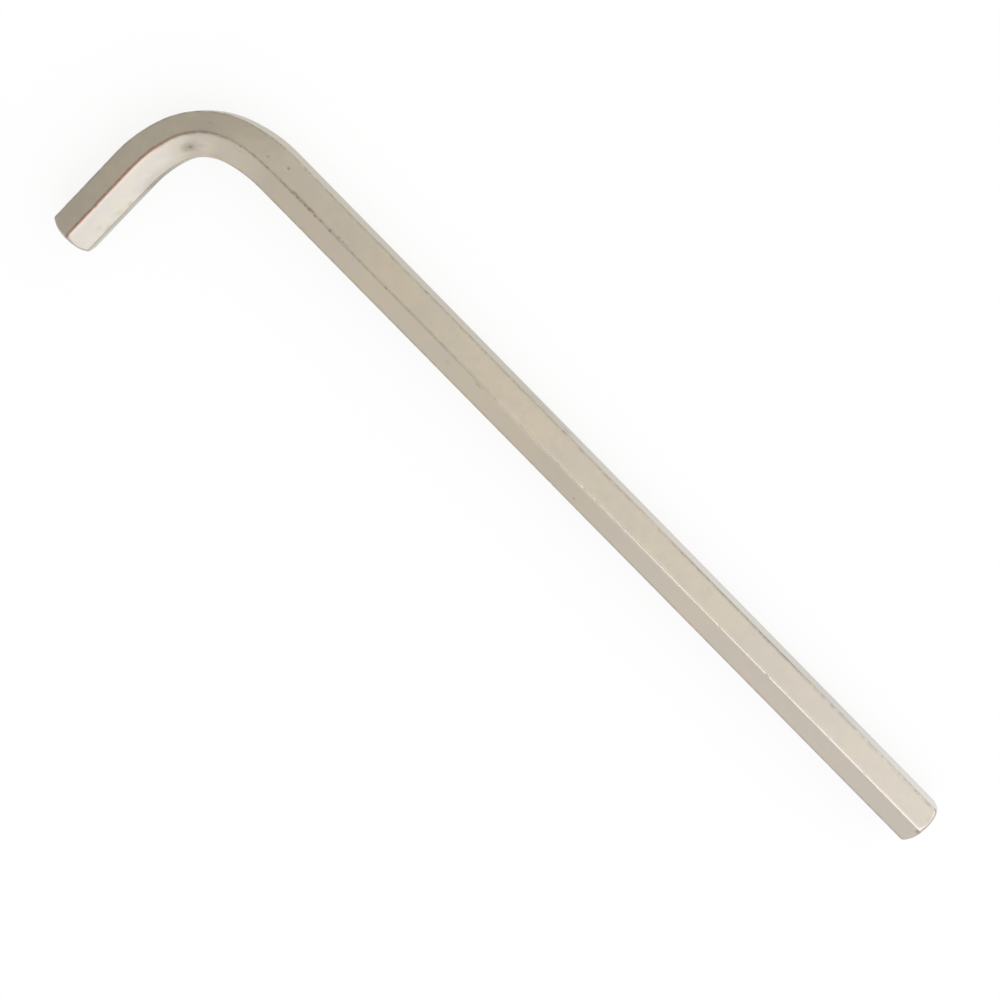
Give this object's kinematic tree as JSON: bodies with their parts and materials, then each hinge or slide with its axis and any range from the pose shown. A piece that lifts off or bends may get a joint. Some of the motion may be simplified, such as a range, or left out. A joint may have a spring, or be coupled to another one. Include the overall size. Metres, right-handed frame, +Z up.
{
  "type": "hex key",
  "caption": "Long-arm hex key: a hexagonal bar bent into an L, chamfered at both tips, in satin nickel finish.",
  "frame": {"origin": "middle of the key's length and breadth, on the floor that it lies on", "axes": "+X along the long arm towards its tip, -Y along the short arm towards its tip, +Z up from the floor, square to the plane of the bend"},
  "size_m": [0.222, 0.047, 0.0114],
  "materials": {
    "satin_nickel": "steel with a warm satin nickel plate, soft sheen, fine nicks along the ridges"
  },
  "bodies": {
    "root": {"hex_key": "satin_nickel"}
  },
  "joints": []
}
